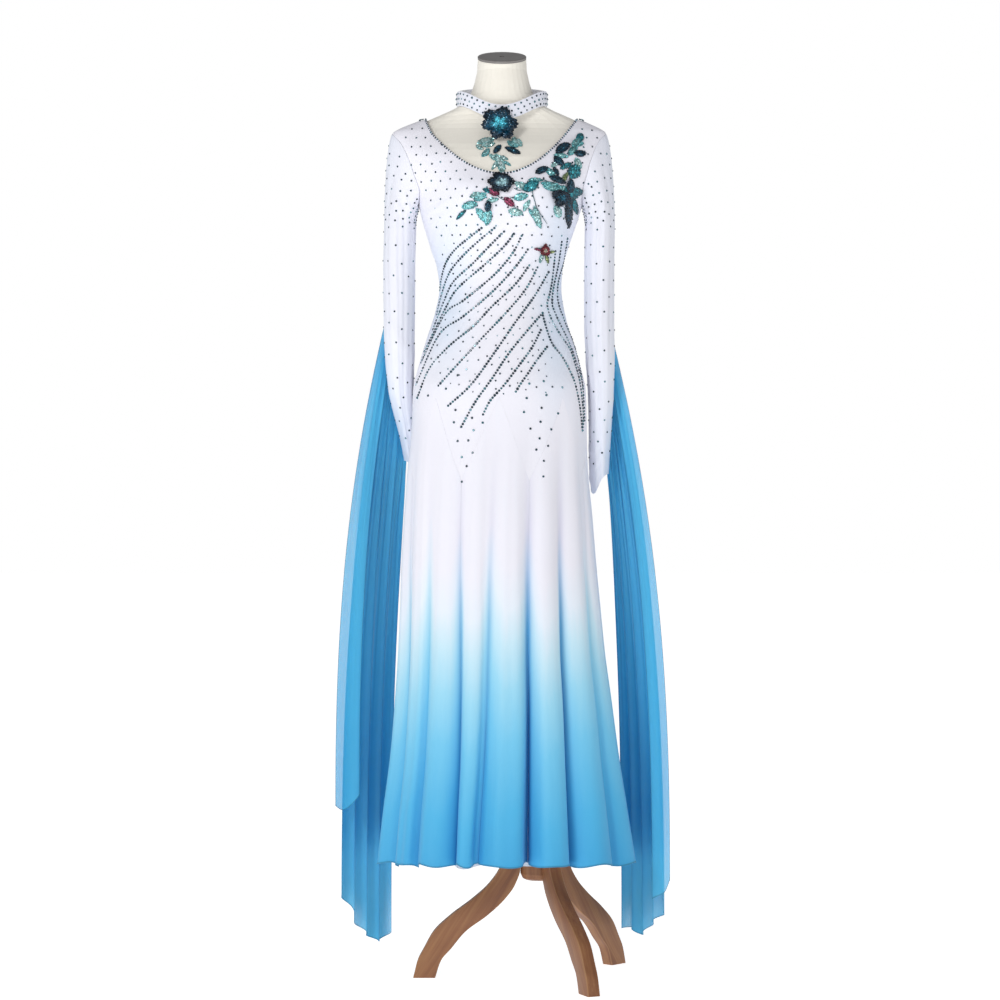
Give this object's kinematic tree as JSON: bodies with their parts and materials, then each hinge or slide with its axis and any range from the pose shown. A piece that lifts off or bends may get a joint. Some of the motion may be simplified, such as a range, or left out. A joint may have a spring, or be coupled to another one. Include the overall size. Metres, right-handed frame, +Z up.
{
  "type": "ballroom dance dress on a dress form",
  "caption": "Long ballroom dress with godet skirt, sleeves with chiffon floats, choker and sequinned flowers, standing on a limbless dress form with a wooden tripod.",
  "frame": {"origin": "on the floor below the middle of the bounding box", "axes": "+Z up; +X to the wearer's left; the front of the dress faces -Y"},
  "size_m": [0.636, 0.4323, 1.7664],
  "materials": {
    "ivory_jersey": "matt jersey over foam",
    "grey_cap": "satin",
    "brown_wood": "satin stain",
    "steel": "brushed",
    "white_crepe": "soft matt stretch crepe",
    "ombre_crepe": "matt crepe, dyed from white to blue",
    "white_net": "matt",
    "blue_chiffon": "sheer matt chiffon",
    "sequin_navy": "sequinned, glossy",
    "sequin_rose": "sequinned, glossy",
    "sequin_teal": "sequinned, glossy",
    "sequin_olive": "sequinned, glossy",
    "sequin_aqua": "sequinned, glossy"
  },
  "bodies": {
    "root": {"form_torso": "ivory_jersey", "form_neck_cap": "grey_cap", "stand_hub": "brown_wood", "stand_leg_right": "brown_wood", "stand_leg_front": "brown_wood", "stand_leg_back": "brown_wood", "stand_pole": "steel", "bodice_front": "white_crepe", "bodice_back_left": "white_crepe", "bodice_back_right": "white_crepe", "sleeve_left_front": "white_crepe", "sleeve_left_back": "white_crepe", "sleeve_right_front": "white_crepe", "sleeve_right_back": "white_crepe", "choker_band": "white_crepe", "godet_front": "ombre_crepe", "godet_front_left": "ombre_crepe", "godet_side_left": "ombre_crepe", "godet_back_left": "ombre_crepe", "godet_back": "ombre_crepe", "godet_back_right": "ombre_crepe", "godet_side_right": "ombre_crepe", "godet_front_right": "ombre_crepe", "underskirt": "white_net", "float_left_main": "blue_chiffon", "float_left_overlay": "blue_chiffon", "float_right_main": "blue_chiffon", "float_right_overlay": "blue_chiffon", "choker_rose": "sequin_navy", "bust_rose": "sequin_navy", "shoulder_rose": "sequin_navy", "choker_petal_inner": "sequin_navy", "choker_petal_outer": "sequin_navy", "bust_dark_bud": "sequin_navy", "shoulder_petal_1": "sequin_navy", "shoulder_petal_2": "sequin_navy", "shoulder_petal_3": "sequin_navy", "shoulder_petal_4": "sequin_navy", "shoulder_petal_5": "sequin_navy", "shoulder_petal_7": "sequin_navy", "shoulder_tail": "sequin_navy", "small_bloom": "sequin_rose", "bust_bud": "sequin_rose", "bust_bud_low": "sequin_rose", "bust_leaf_6": "sequin_teal", "shoulder_star": "sequin_teal", "shoulder_petal_6": "sequin_teal", "shoulder_leaf_2": "sequin_olive", "choker_leaf_left": "sequin_aqua", "choker_leaf_right": "sequin_aqua", "choker_spray": "sequin_aqua", "bust_leaf_1": "sequin_aqua", "bust_leaf_2": "sequin_aqua", "bust_leaf_3": "sequin_aqua", "bust_leaf_4": "sequin_aqua", "bust_leaf_5": "sequin_aqua", "bust_leaf_7": "sequin_aqua", "shoulder_leaf_1": "sequin_aqua", "shoulder_leaf_3": "sequin_aqua"}
  },
  "joints": []
}
